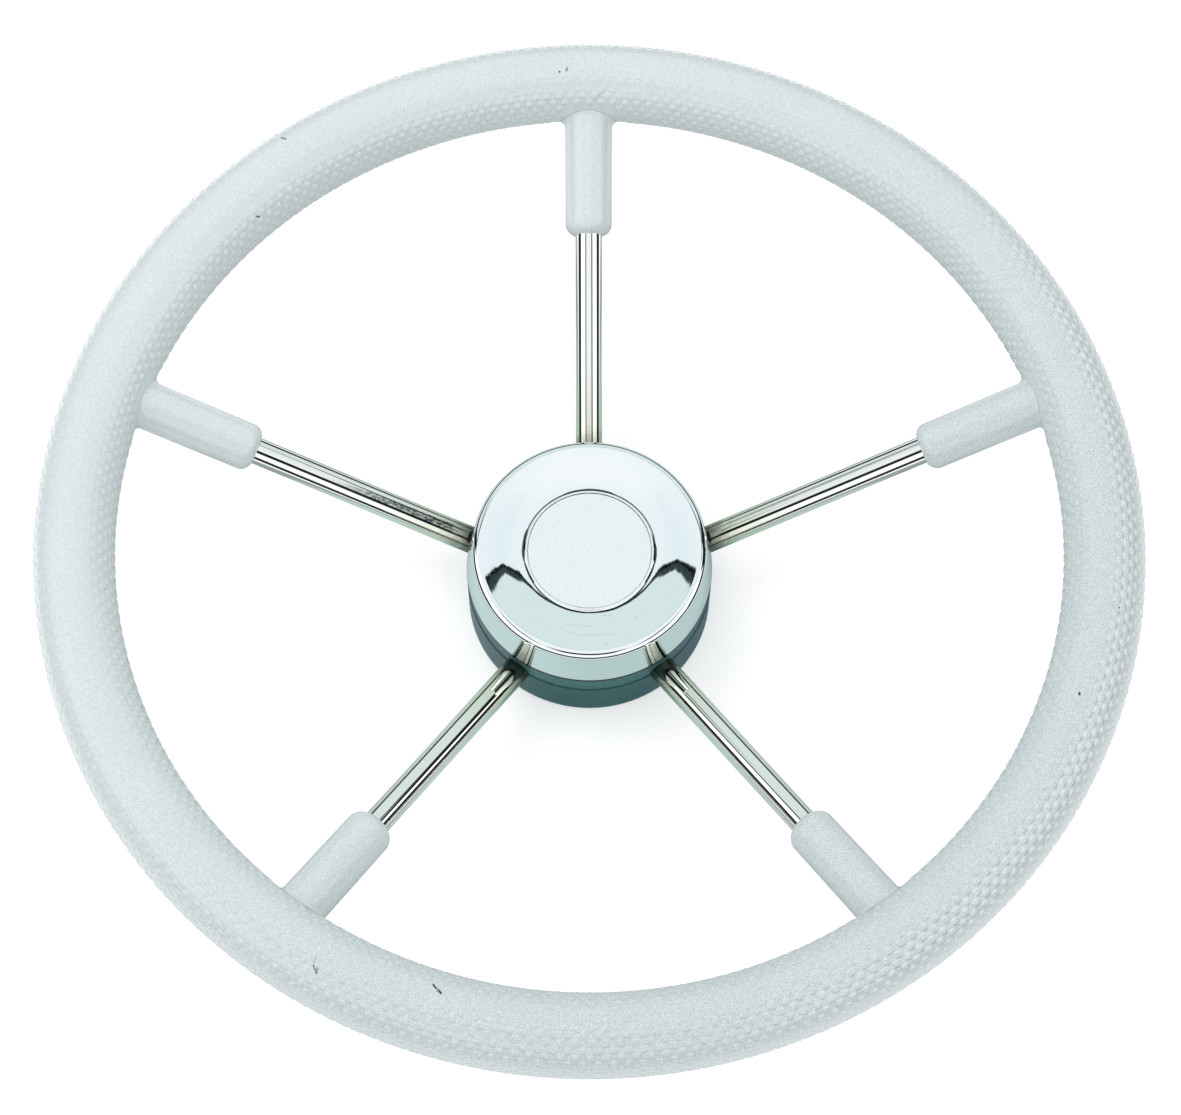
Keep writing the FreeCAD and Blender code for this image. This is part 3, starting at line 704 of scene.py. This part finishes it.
def tube_polish():
    """Polished steel, with a painted olive-straw reflection near the hub, painted shade where it enters the casing, and
    a painted dark reflection stripe along the upper left spoke.
    """
    s = Shader("polished_tube")
    co = s.coords()
    x, y, z = s.xyz(co)
    r = s.m("SQRT", s.m("ADD", s.m("MULTIPLY", x, x), s.m("MULTIPLY", y, y)))
    n = s.noise(co, 35.0, 4.0, 0.6)
    f = s.noise(co, 500.0, 3.0, 0.6)
    g = s.noise(co, 260.0, 4.0, 0.65)
    col = s.mix(s.step(n, 0.3, 0.7), (0.885, 0.895, 0.885), (0.905, 0.912, 0.90))
    # painted reflection: olive-straw tint near the hub
    col = s.mix(s.m("MULTIPLY", s.step(r, 0.052, 0.085, 0.62, 0.06), s.step(n, 0.25, 0.75, 0.7, 1.0)), col, (0.57, 0.63, 0.43))
    # painted shade where the tube enters the casing; the surface is also rougher there
    casing_edge_shade = s.m("MULTIPLY", s.step(s.m("ADD", r, s.m("MULTIPLY", s.m("SUBTRACT", g, 0.5), 0.016)), 0.0460, 0.0585, 0.92, 0.0), s.step(g, 0.30, 0.60, 0.60, 1.0))
    # painted reflection: a thin dark stripe along the upper left spoke, from about 52 to 106 mm out
    across = s.m("ADD", s.m("MULTIPLY", x, -sd(162.0)), s.m("MULTIPLY", y, cd(162.0)))
    along = s.m("ADD", s.m("MULTIPLY", x, cd(162.0)), s.m("MULTIPLY", y, sd(162.0)))
    weave = s.noise(s.node("ShaderNodeMapping", {"Vector": co, "Scale": (1.0, 1.6, 1.6)}).outputs[0], 620.0, 4.0, 0.7)
    low = s.step(along, 0.052, 0.085, 0.0016, 0.0006, smooth=False)
    low = s.m("ADD", low, s.step(along, 0.085, 0.105, 0.0, -0.0016, smooth=False))
    dark_reflection_stripe = s.m("MULTIPLY", s.step(s.m("ADD", across, low), 0.0, 0.0004, 0.0, 1.0), s.step(across, 0.0017, 0.0022, 1.0, 0.0))
    dark_reflection_stripe = s.m("MULTIPLY", dark_reflection_stripe, s.m("MULTIPLY", s.step(along, 0.0515, 0.0545), s.step(along, 0.078, 0.106, 1.0, 0.0)))
    dark_reflection_stripe = s.m("MULTIPLY", dark_reflection_stripe, s.step(weave, 0.36, 0.60, 0.35, 0.95))
    # painted dark reflection stripe
    col = s.mix(dark_reflection_stripe, col, (0.045, 0.062, 0.070))
    # painted shade at the casing
    col = s.mix(casing_edge_shade, col, (0.030, 0.034, 0.020))
    rgh = s.m("ADD", s.step(f, 0.3, 0.7, 0.018, 0.034), s.m("MULTIPLY", casing_edge_shade, 0.16))
    bp = s.node("ShaderNodeBump", {"Strength": 0.015, "Distance": 0.00004, "Height": f})
    s.principled(Base_Color=col, Metallic=1.0, Roughness=rgh, Normal=bp.outputs[0])
    return s.owner


spoke_mat = tube_polish()
for name in spokes:
    paint(spokes[name], spoke_mat)


def cap_plating():
    """Bright plating, with painted shade in the groove round the disc, thick in four places, painted shade along the
    skirt's lowest edge at the seam, and fine scratches.
    """
    s = Shader("cap_plating")
    co = s.coords()
    x, y, z = s.xyz(co)
    n = s.noise(co, 50.0, 4.0, 0.6)
    f = s.noise(co, 700.0, 3.0, 0.6)
    r = s.m("MULTIPLY", s.m("SQRT", s.m("ADD", s.m("MULTIPLY", x, x), s.m("MULTIPLY", y, y))), 1000.0)
    ux, uy = s.m("DIVIDE", x, s.m("MULTIPLY", r, 0.001)), s.m("DIVIDE", y, s.m("MULTIPLY", r, 0.001))
    # width of the painted shade in the groove round the disc, thicker in four places
    half = s.step(s.noise(co, 210.0, 2.0), 0.35, 0.7, 0.10, 0.17)
    for az, c0, c1, w in ((90.0, 0.90, 0.975, 0.30), (174.0, 0.955, 0.992, 0.40), (-3.0, 0.982, 0.996, 0.26), (-86.0, 0.62, 0.80, 0.10)):
        lobe = s.m("ADD", s.m("MULTIPLY", ux, cd(az)), s.m("MULTIPLY", uy, sd(az)))
        half = s.m("ADD", half, s.step(lobe, c0, c1, 0.0, w))
    off = s.m("ABSOLUTE", s.m("SUBTRACT", r, 24.22))
    groove_shade = s.step(s.m("SUBTRACT", off, half), -0.06, 0.10, 0.93, 0.0)
    top = s.step(z, 0.030, 0.034)
    groove_shade = s.m("MULTIPLY", groove_shade, top)
    scratch = None
    for ax, ay, bx, by, dark in SCRATCHES:
        dx, dy = (bx - ax) * MM, (by - ay) * MM
        px, py = s.m("SUBTRACT", x, ax * MM), s.m("SUBTRACT", y, ay * MM)
        q = dx * dx + dy * dy
        t = s.m("ADD", s.m("MULTIPLY", px, dx / q), s.m("MULTIPLY", py, dy / q), clamp=True)
        ex, ey = s.m("SUBTRACT", px, s.m("MULTIPLY", t, dx)), s.m("SUBTRACT", py, s.m("MULTIPLY", t, dy))
        d = s.m("SQRT", s.m("ADD", s.m("MULTIPLY", ex, ex), s.m("MULTIPLY", ey, ey)))
        one = s.step(d, 0.00006, 0.00024, dark, 0.0)
        scratch = one if scratch is None else s.m("MAXIMUM", scratch, one)
    scratch = s.m("MULTIPLY", scratch, s.m("MULTIPLY", s.step(f, 0.35, 0.6, 0.35, 1.0), top))
    col = s.mix(s.step(n, 0.3, 0.7), (0.885, 0.938, 0.962), (0.897, 0.946, 0.968))
    col = s.mix(s.step(s.noise(co, 1900.0, 2.0, 0.6), 0.35, 0.65, 0.0, 0.30, smooth=False), col, (0.75, 0.80, 0.83))
    col = s.mix(scratch, col, (0.30, 0.36, 0.35))
    # painted shade along the skirt's lowest edge, at the seam
    col = s.mix(s.step(z, (SEAM_Z + 1.3) * MM, (SEAM_Z + 1.7) * MM, 0.97, 0.0), col, (0.012, 0.016, 0.016))
    # painted shade in the groove round the disc
    col = s.mix(groove_shade, col, (0.010, 0.012, 0.012))
    rgh = s.m("ADD", s.step(f, 0.3, 0.7, 0.022, 0.045), s.m("MULTIPLY", scratch, 0.15))
    bp = s.node("ShaderNodeBump", {"Strength": 0.015, "Distance": 0.00005, "Height": f})
    s.principled(Base_Color=col, Metallic=1.0, Roughness=rgh, Normal=bp.outputs[0])
    return s.owner


# fine scratches on the dish: both ends in mm, and how dark
SCRATCHES = [
    (-8.3, -29.3, 0.1, -29.8, 0.40),
    (-9.0, -32.1, -2.9, -33.7, 0.40),
    (-2.9, -33.7, 9.7, -33.4, 0.35),
    (4.3, -25.4, 8.5, -25.7, 0.30),
    (16.4, -27.1, 18.8, -25.1, 0.45),
    (5.8, -37.2, 6.4, -37.2, 0.50),
]
paint(cap, cap_plating())


def disc_face():
    """Satin metal with a fine speckle."""
    s = Shader("disc_face")
    co = s.coords()
    n = s.noise(co, 80.0, 4.0, 0.6)
    f = s.noise(co, 1900.0, 2.0, 0.6)
    col = s.mix(s.step(n, 0.3, 0.7), (0.925, 0.965, 0.985), (0.940, 0.975, 0.99))
    col = s.mix(s.step(f, 0.34, 0.66, 0.0, 0.65, smooth=False), col, (0.76, 0.825, 0.86))
    bp = s.node("ShaderNodeBump", {"Strength": 0.08, "Distance": 0.00006, "Height": f})
    s.principled(Base_Color=col, Metallic=1.0, Roughness=s.step(f, 0.3, 0.7, 0.10, 0.17), Normal=bp.outputs[0])
    return s.owner


paint(disc, disc_face())
core_mat = metal("ring_tube", (0.022, 0.024, 0.022), (0.040, 0.043, 0.040), 0.40, 0.55)
boss_mat = metal("turned_barrel", (0.50, 0.50, 0.51), (0.58, 0.58, 0.59), 0.22, 0.34, 90.0, 0.08, (1, 1, 12))
screw_mat = metal("screw_zinc", (0.55, 0.55, 0.56), (0.64, 0.64, 0.64), 0.25, 0.36, 120.0)


def casing(name, col_a, col_b):
    s = Shader(name)
    co = s.coords()
    n = s.noise(co, 40.0, 3.0)
    f = s.noise(co, 1500.0, 2.0)
    col = s.mix(s.step(n, 0.3, 0.7), col_a, col_b)
    x, y, z = s.xyz(co)
    # painted sheen: lighter blue-grey towards the left and right sides
    col = s.mix(s.step(s.m("ABSOLUTE", x), 0.014, 0.040, 0.0, 0.72), col, (0.080, 0.122, 0.170))
    col = s.mix(s.step(s.noise(co, 1100.0, 2.0, 0.6), 0.42, 0.66, 0.0, 0.30, smooth=False), col, (0.120, 0.200, 0.225))
    col = s.mix(s.step(s.noise(co, 1300.0, 2.0, 0.6), 0.36, 0.58, 0.40, 0.0, smooth=False), col, (0.012, 0.055, 0.060))
    rgh = s.step(f, 0.3, 0.7, 0.28, 0.38)
    bp = s.node("ShaderNodeBump", {"Strength": 0.20, "Distance": 0.0001, "Height": f})
    s.principled(Base_Color=col, Roughness=rgh, Normal=bp.outputs[0], IOR=1.42)
    return s.owner


def rubber():
    s = Shader("ring_rubber")
    co = s.coords()
    n = s.noise(co, 300.0, 3.0)
    s.principled(Base_Color=s.mix(n, (0.012, 0.012, 0.012), (0.035, 0.035, 0.035)), Roughness=s.step(n, 0.3, 0.7, 0.5, 0.7))
    return s.owner


paint(nodes["rim_core"], core_mat)
paint(nodes["hub_boss"], boss_mat)
paint(nodes["shroud_screws"], screw_mat)
paint(nodes["cap_o_ring"], rubber())
paint(nodes["lower_shroud"], casing("casing_lower", (0.018, 0.100, 0.108), (0.024, 0.118, 0.126)))
paint(nodes["upper_shroud"], casing("casing_upper", (0.036, 0.170, 0.164), (0.044, 0.188, 0.182)))

# ---- what stands for what ---------------------------------------------------------------------------------------
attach(grip, "root")
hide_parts("rim_grip")
grip.visible_glossy = False
for name in spokes:
    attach(spokes[name], "root")
    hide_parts(name)
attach(cap, "root")
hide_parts("hub_cap")
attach(disc, "root")
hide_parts("centre_disc")


# ---- studio -----------------------------------------------------------------------------------------------------
def studio_world():
    """Plain soft light for matt surfaces; what the polished metal mirrors is the studio round it: an overhead panel with a
    dark slot at the camera, narrow gaps at its sides and back, bright side boxes, a back panel and a dark low rim."""
    s = Shader("studio", world=True)
    gen = s.coords("Generated")
    x, y, z = s.xyz(gen)
    zc = s.m("MAXIMUM", z, 0.015)
    X, Y = s.m("DIVIDE", x, zc), s.m("DIVIDE", y, zc)
    aX = s.m("ABSOLUTE", s.m("SUBTRACT", X, 0.01))
    # overhead panel between the side boxes, brightest overhead
    over = s.mix(s.step(Y, -0.05, 0.36), (1.02, 1.02, 1.02), (0.920, 0.968, 0.975))
    over = s.mix(s.step(aX, 0.22, 0.50), over, (0.862, 0.928, 0.942))
    col = s.mix(s.m("MULTIPLY", s.step(X, -0.60, -0.57), s.step(X, 0.64, 0.67, 1.0, 0.0)), (1.45, 1.47, 1.47), over)
    # gaps beside it
    shift = s.step(Y, 0.0, 0.15)
    Xr = s.m("SUBTRACT", X, s.m("MULTIPLY", shift, 0.085))
    near = s.step(Y, -0.06, 0.0, 1.0, 0.0)
    gap_r = s.m("MULTIPLY", s.step(s.m("ADD", Xr, s.m("MULTIPLY", near, 0.095)), 0.485, 0.505), s.step(s.m("ADD", Xr, s.m("MULTIPLY", shift, 0.05)), 0.60, 0.64, 1.0, 0.0))
    gap_r = s.m("MULTIPLY", gap_r, s.step(Y, -0.30, 0.30, 0.97, 0.98))
    Xl = s.m("ADD", X, s.m("MULTIPLY", shift, 0.14))
    gap_l = s.m("MULTIPLY", s.step(s.m("ADD", s.m("SUBTRACT", Xl, s.m("MULTIPLY", shift, 0.07)), s.m("MULTIPLY", near, 0.06)), -0.55, -0.53), s.step(Xl, -0.43, -0.40, 1.0, 0.0))
    gap_l = s.m("MULTIPLY", gap_l, s.step(Y, 0.05, 0.25, 0.96, 0.35))
    gaps = s.m("MULTIPLY", s.m("MAXIMUM", gap_r, gap_l), s.m("MULTIPLY", s.step(Y, -0.6, -0.4), s.step(Y, 0.50, 0.56, 1.0, 0.0)))
    col = s.mix(gaps, col, (0.015, 0.017, 0.017))
    # front: white beyond the panel, and the dark slot at the camera
    col = s.mix(s.step(Y, -0.95, -0.85, 1.0, 0.0), col, (1.15, 1.16, 1.16))
    wide = s.step(Y, -0.90, -0.36, 0.31, 0.33, smooth=False)
    slot = s.m("MULTIPLY", s.step(s.m("SUBTRACT", s.m("ABSOLUTE", s.m("ADD", X, 0.02)), wide), -0.025, 0.025, 1.0, 0.0),
               s.m("MULTIPLY", s.step(Y, -0.90, -0.84), s.step(Y, -0.40, -0.35, 1.0, 0.0)))
    cloth = s.step(s.noise(gen, 34.0, 4.0, 0.7), 0.42, 0.62)
    col = s.mix(slot, col, s.mix(cloth, (0.004, 0.005, 0.006), (0.035, 0.045, 0.055)))
    # back panel, and the dark gap along its ragged edge, thin in the middle and thick at both ends
    rag = s.m("MULTIPLY", s.m("SUBTRACT", s.noise(gen, 24.0, 3.0, 0.65), 0.5), 0.036)
    lift = s.m("MULTIPLY", s.step(X, 0.07, 0.24, 0.0, -0.056, smooth=False), 1.0)
    lift = s.m("ADD", lift, s.step(X, 0.26, 0.51, 0.0, 0.044, smooth=False))
    lift = s.m("ADD", lift, s.step(X, -0.22, -0.06, -0.082, 0.0, smooth=False))
    lift = s.m("ADD", lift, s.step(X, -0.50, -0.27, 0.038, 0.0, smooth=False))
    t = s.m("SUBTRACT", s.m("ADD", Y, rag), s.m("ADD", 0.592, lift))
    back = s.m("MULTIPLY", s.step(t, 0.0, 0.010), s.step(s.m("ABSOLUTE", x), 0.78, 0.84, 1.0, 0.0))
    col = s.mix(back, col, (0.754, 0.852, 0.835))
    deep = s.step(s.m("ABSOLUTE", X), 0.17, 0.36, 0.030, 0.068)
    core = s.m("MULTIPLY", s.step(t, -0.014, -0.006), s.step(s.m("SUBTRACT", t, deep), -0.008, 0.008, 1.0, 0.0))
    gap_b = s.m("MULTIPLY", core, s.m("MULTIPLY", s.step(X, -1.15, -1.0), s.step(X, 1.4, 1.6, 1.0, 0.0)))
    col = s.mix(gap_b, col, s.mix(s.step(t, 0.010, 0.022), (0.004, 0.005, 0.005), (0.034, 0.052, 0.050)))
    # dark uprights at the far ends of the panel
    up_r = s.m("MULTIPLY", s.m("MULTIPLY", s.step(X, 0.57, 0.59), s.step(X, 0.74, 0.78, 1.0, 0.0)),
               s.m("MULTIPLY", s.step(Y, 0.38, 0.42), s.step(Y, 0.66, 0.70, 1.0, 0.0)))
    up_l = s.m("MULTIPLY", s.m("MULTIPLY", s.step(X, -0.82, -0.79), s.step(X, -0.66, -0.63, 1.0, 0.0)),
               s.m("MULTIPLY", s.step(Y, 0.76, 0.79), s.step(Y, 1.00, 1.06, 0.90, 0.0)))
    col = s.mix(s.m("MAXIMUM", up_r, up_l), col, (0.008, 0.010, 0.010))
    # dark corners of the room, low down on the right and on the left
    az = s.m("MULTIPLY", s.m("ARCTAN2", y, x), 180.0 / math.pi)
    dk_r = s.m("MULTIPLY", s.m("MULTIPLY", s.step(az, 12.0, 15.0), s.step(az, 35.0, 42.0, 1.0, 0.0)), s.step(z, 0.62, 0.69, 1.0, 0.0))
    dk_l = s.m("MULTIPLY", s.m("MULTIPLY", s.step(az, 141.0, 146.0), s.step(az, 166.0, 174.0, 1.0, 0.0)), s.step(z, 0.26, 0.40, 1.0, 0.0))
    dk_m = s.m("MULTIPLY", s.m("MULTIPLY", s.step(az, 145.5, 147.0), s.step(az, 154.5, 157.0, 1.0, 0.0)), s.step(z, 0.64, 0.70, 1.0, 0.0))
    col = s.mix(s.m("MAXIMUM", s.m("MAXIMUM", dk_r, dk_l), dk_m), col, (0.010, 0.014, 0.013))
    # low dark rim all round
    flat = s.step(s.m("ABSOLUTE", y), 0.16, 0.26, 0.09, 0.0)
    hor = s.step(s.m("SUBTRACT", z, flat), 0.235, 0.275, 1.0, 0.0)
    hc = s.mix(s.step(y, 0.35, 0.9), (0.012, 0.014, 0.016), (0.045, 0.055, 0.053))
    hc = s.mix(s.step(y, -0.95, -0.6, 1.0, 0.0), hc, (0.020, 0.025, 0.025))
    col = s.mix(hor, col, hc)
    mirrored_bg = s.node("ShaderNodeBackground", {"Color": col, "Strength": 1.0}).outputs[0]
    # even light for matt surfaces, a little stronger from the left and from behind
    even = s.mix(s.step(x, -1.0, 1.0, smooth=False), (0.93, 0.935, 0.935), (0.86, 0.865, 0.87))
    even = s.mix(s.step(y, -0.2, 1.0, 0.0, 0.35), even, (0.93, 0.94, 0.94))
    even = s.mix(s.step(z, -0.05, 0.02, 1.0, 0.0), even, (0.55, 0.56, 0.56))
    even_bg = s.node("ShaderNodeBackground", {"Color": even, "Strength": 1.0}).outputs[0]
    seen = s.node("ShaderNodeBackground", {"Color": (0.96, 0.965, 0.965, 1), "Strength": 1.0}).outputs[0]
    path = s.node("ShaderNodeLightPath")
    m1 = s.node("ShaderNodeMixShader", {0: path.outputs["Is Glossy Ray"], 1: even_bg, 2: mirrored_bg})
    m2_ = s.node("ShaderNodeMixShader", {0: path.outputs["Is Camera Ray"], 1: m1.outputs[0], 2: seen})
    s.t.links.new(m2_.outputs[0], s.out.inputs["Surface"])
    return s.owner


scene.world = studio_world()


def floor(name, z, size=8.0):
    v = [(-size, -size, z), (size, -size, z), (size, size, z), (-size, size, z)]
    me = bpy.data.meshes.new(name)
    me.from_pydata(v, [], [(0, 1, 2, 3)])
    ob = bpy.data.objects.new(name, me)
    scene.collection.objects.link(ob)
    return ob


ground = floor("floor_seen", -0.0004)
s = Shader("floor_paper")
co = s.coords()
tone = s.noise(co, 3.0, 2.0)
df = s.node("ShaderNodeBsdfDiffuse", {"Color": s.mix(tone, (0.80, 0.805, 0.80), (0.82, 0.822, 0.82))})
em = s.node("ShaderNodeEmission", {"Color": (0.99, 1.0, 1.0, 1), "Strength": 0.42})
ad = s.node("ShaderNodeAddShader", {0: df.outputs[0], 1: em.outputs[0]})
s.t.links.new(ad.outputs[0], s.out.inputs["Surface"])
paint(ground, s.owner)
ground.visible_glossy = False
ground.visible_diffuse = False

# what the floor gives back to matt surfaces
bounce = floor("floor_bounce", -0.0006)
s = Shader("floor_back_light")
tone = s.noise(s.coords(), 3.0, 2.0)
bx, by, bz = s.xyz(s.coords())
em = s.node("ShaderNodeEmission", {"Color": s.mix(tone, (0.70, 0.71, 0.71), (0.74, 0.745, 0.74)),
                                   "Strength": s.step(by, -0.30, -0.05, 1.30, 1.0)})
s.t.links.new(em.outputs[0], s.out.inputs["Surface"])
paint(bounce, s.owner)
bounce.visible_camera = False
bounce.visible_glossy = False
bounce.visible_shadow = False
bounce.visible_transmission = False

mirrored = floor("floor_reflected", -0.0008)
s = Shader("floor_in_metal")
co = s.coords()
fx, fy, fz = s.xyz(co)
rad = s.m("SQRT", s.m("ADD", s.m("MULTIPLY", fx, fx), s.m("MULTIPLY", fy, fy)))
tone = s.noise(co, 9.0, 3.0)
# painted shadows on the floor seen in the metal: a dark ring round the hub and a darker band under the rim, brighter
# beyond, dark far off
col = s.mix(s.step(rad, 0.060, 0.15), (0.50, 0.64, 0.61), (0.54, 0.62, 0.58))
col = s.mix(s.step(rad, 0.049, 0.066, 1.0, 0.0), col, (0.17, 0.27, 0.27))
col = s.mix(s.m("MULTIPLY", s.step(rad, 0.115, 0.135), s.step(rad, 0.155, 0.178, 1.0, 0.0)), col, (0.30, 0.37, 0.335))
col = s.mix(s.step(rad, 0.160, 0.190), col, (0.82, 0.86, 0.84))
col = s.mix(s.m("MULTIPLY", s.step(fx, -0.05, 0.0, 1.0, 0.0), s.step(rad, 0.09, 0.12, 0.45, 0.0)), col, (0.66, 0.82, 0.80))
col = s.mix(s.step(rad, 0.205, 0.235), col, (1.40, 1.44, 1.43))
col = s.mix(s.m("MULTIPLY", tone, 0.12), col, (0.66, 0.68, 0.66))
col = s.mix(s.step(rad, 0.33, 0.39), col, (0.012, 0.014, 0.014))
em = s.node("ShaderNodeEmission", {"Color": col, "Strength": 1.0})
s.t.links.new(em.outputs[0], s.out.inputs["Surface"])
paint(mirrored, s.owner)
mirrored.visible_camera = False
mirrored.visible_diffuse = False
mirrored.visible_shadow = False
mirrored.visible_transmission = False

lamp = bpy.data.lights.new("key", "AREA")
lamp.shape, lamp.size, lamp.size_y, lamp.energy = "RECTANGLE", 0.6, 0.5, 1.7
lamp.color = (1.0, 0.995, 0.985)
key = bpy.data.objects.new("key", lamp)
scene.collection.objects.link(key)
key.location = (-0.45, 0.35, 0.90)
key.rotation_euler = (Vector((0, 0, 0.06)) - Vector(key.location)).to_track_quat("-Z", "Y").to_euler()
key.visible_camera = False
key.visible_glossy = False

# ---- camera -------------------------------------------------------------------------------------------------------
EL, YAW, ROLL, DIST = math.radians(67.34), math.radians(-0.56), math.radians(0.50), 1165.2
turn = np.array([[math.cos(YAW), -math.sin(YAW), 0], [math.sin(YAW), math.cos(YAW), 0], [0, 0, 1]])
eye = turn @ np.array([0, -DIST * math.cos(EL), DIST * math.sin(EL)]) + np.array([0, 0, 64.0])
aim = turn @ np.array([0.36, -10.36, 0.0]) + np.array([0, 0, 64.0])
fwd = (aim - eye) / np.linalg.norm(aim - eye)
right = np.cross(fwd, [0, 0, 1])
right /= np.linalg.norm(right)
upv = np.cross(right, fwd)
r2 = math.cos(ROLL) * right + math.sin(ROLL) * upv
u2 = -math.sin(ROLL) * right + math.cos(ROLL) * upv
cam_data = bpy.data.cameras.new("camera")
cam_data.sensor_fit = "HORIZONTAL"
cam_data.sensor_width = 36.0
cam_data.lens = 3234.0 / 1181.0 * 36.0
cam_data.clip_start, cam_data.clip_end = 0.01, 60.0
camera = bpy.data.objects.new("camera", cam_data)
scene.collection.objects.link(camera)
camera.matrix_world = Matrix([[r2[0], u2[0], -fwd[0], eye[0] * MM], [r2[1], u2[1], -fwd[1], eye[1] * MM],
                              [r2[2], u2[2], -fwd[2], eye[2] * MM], [0, 0, 0, 1]])
scene.camera = camera

# ---- scene update -------------------------------------------------------------------------------------------------
bpy.context.view_layer.update()
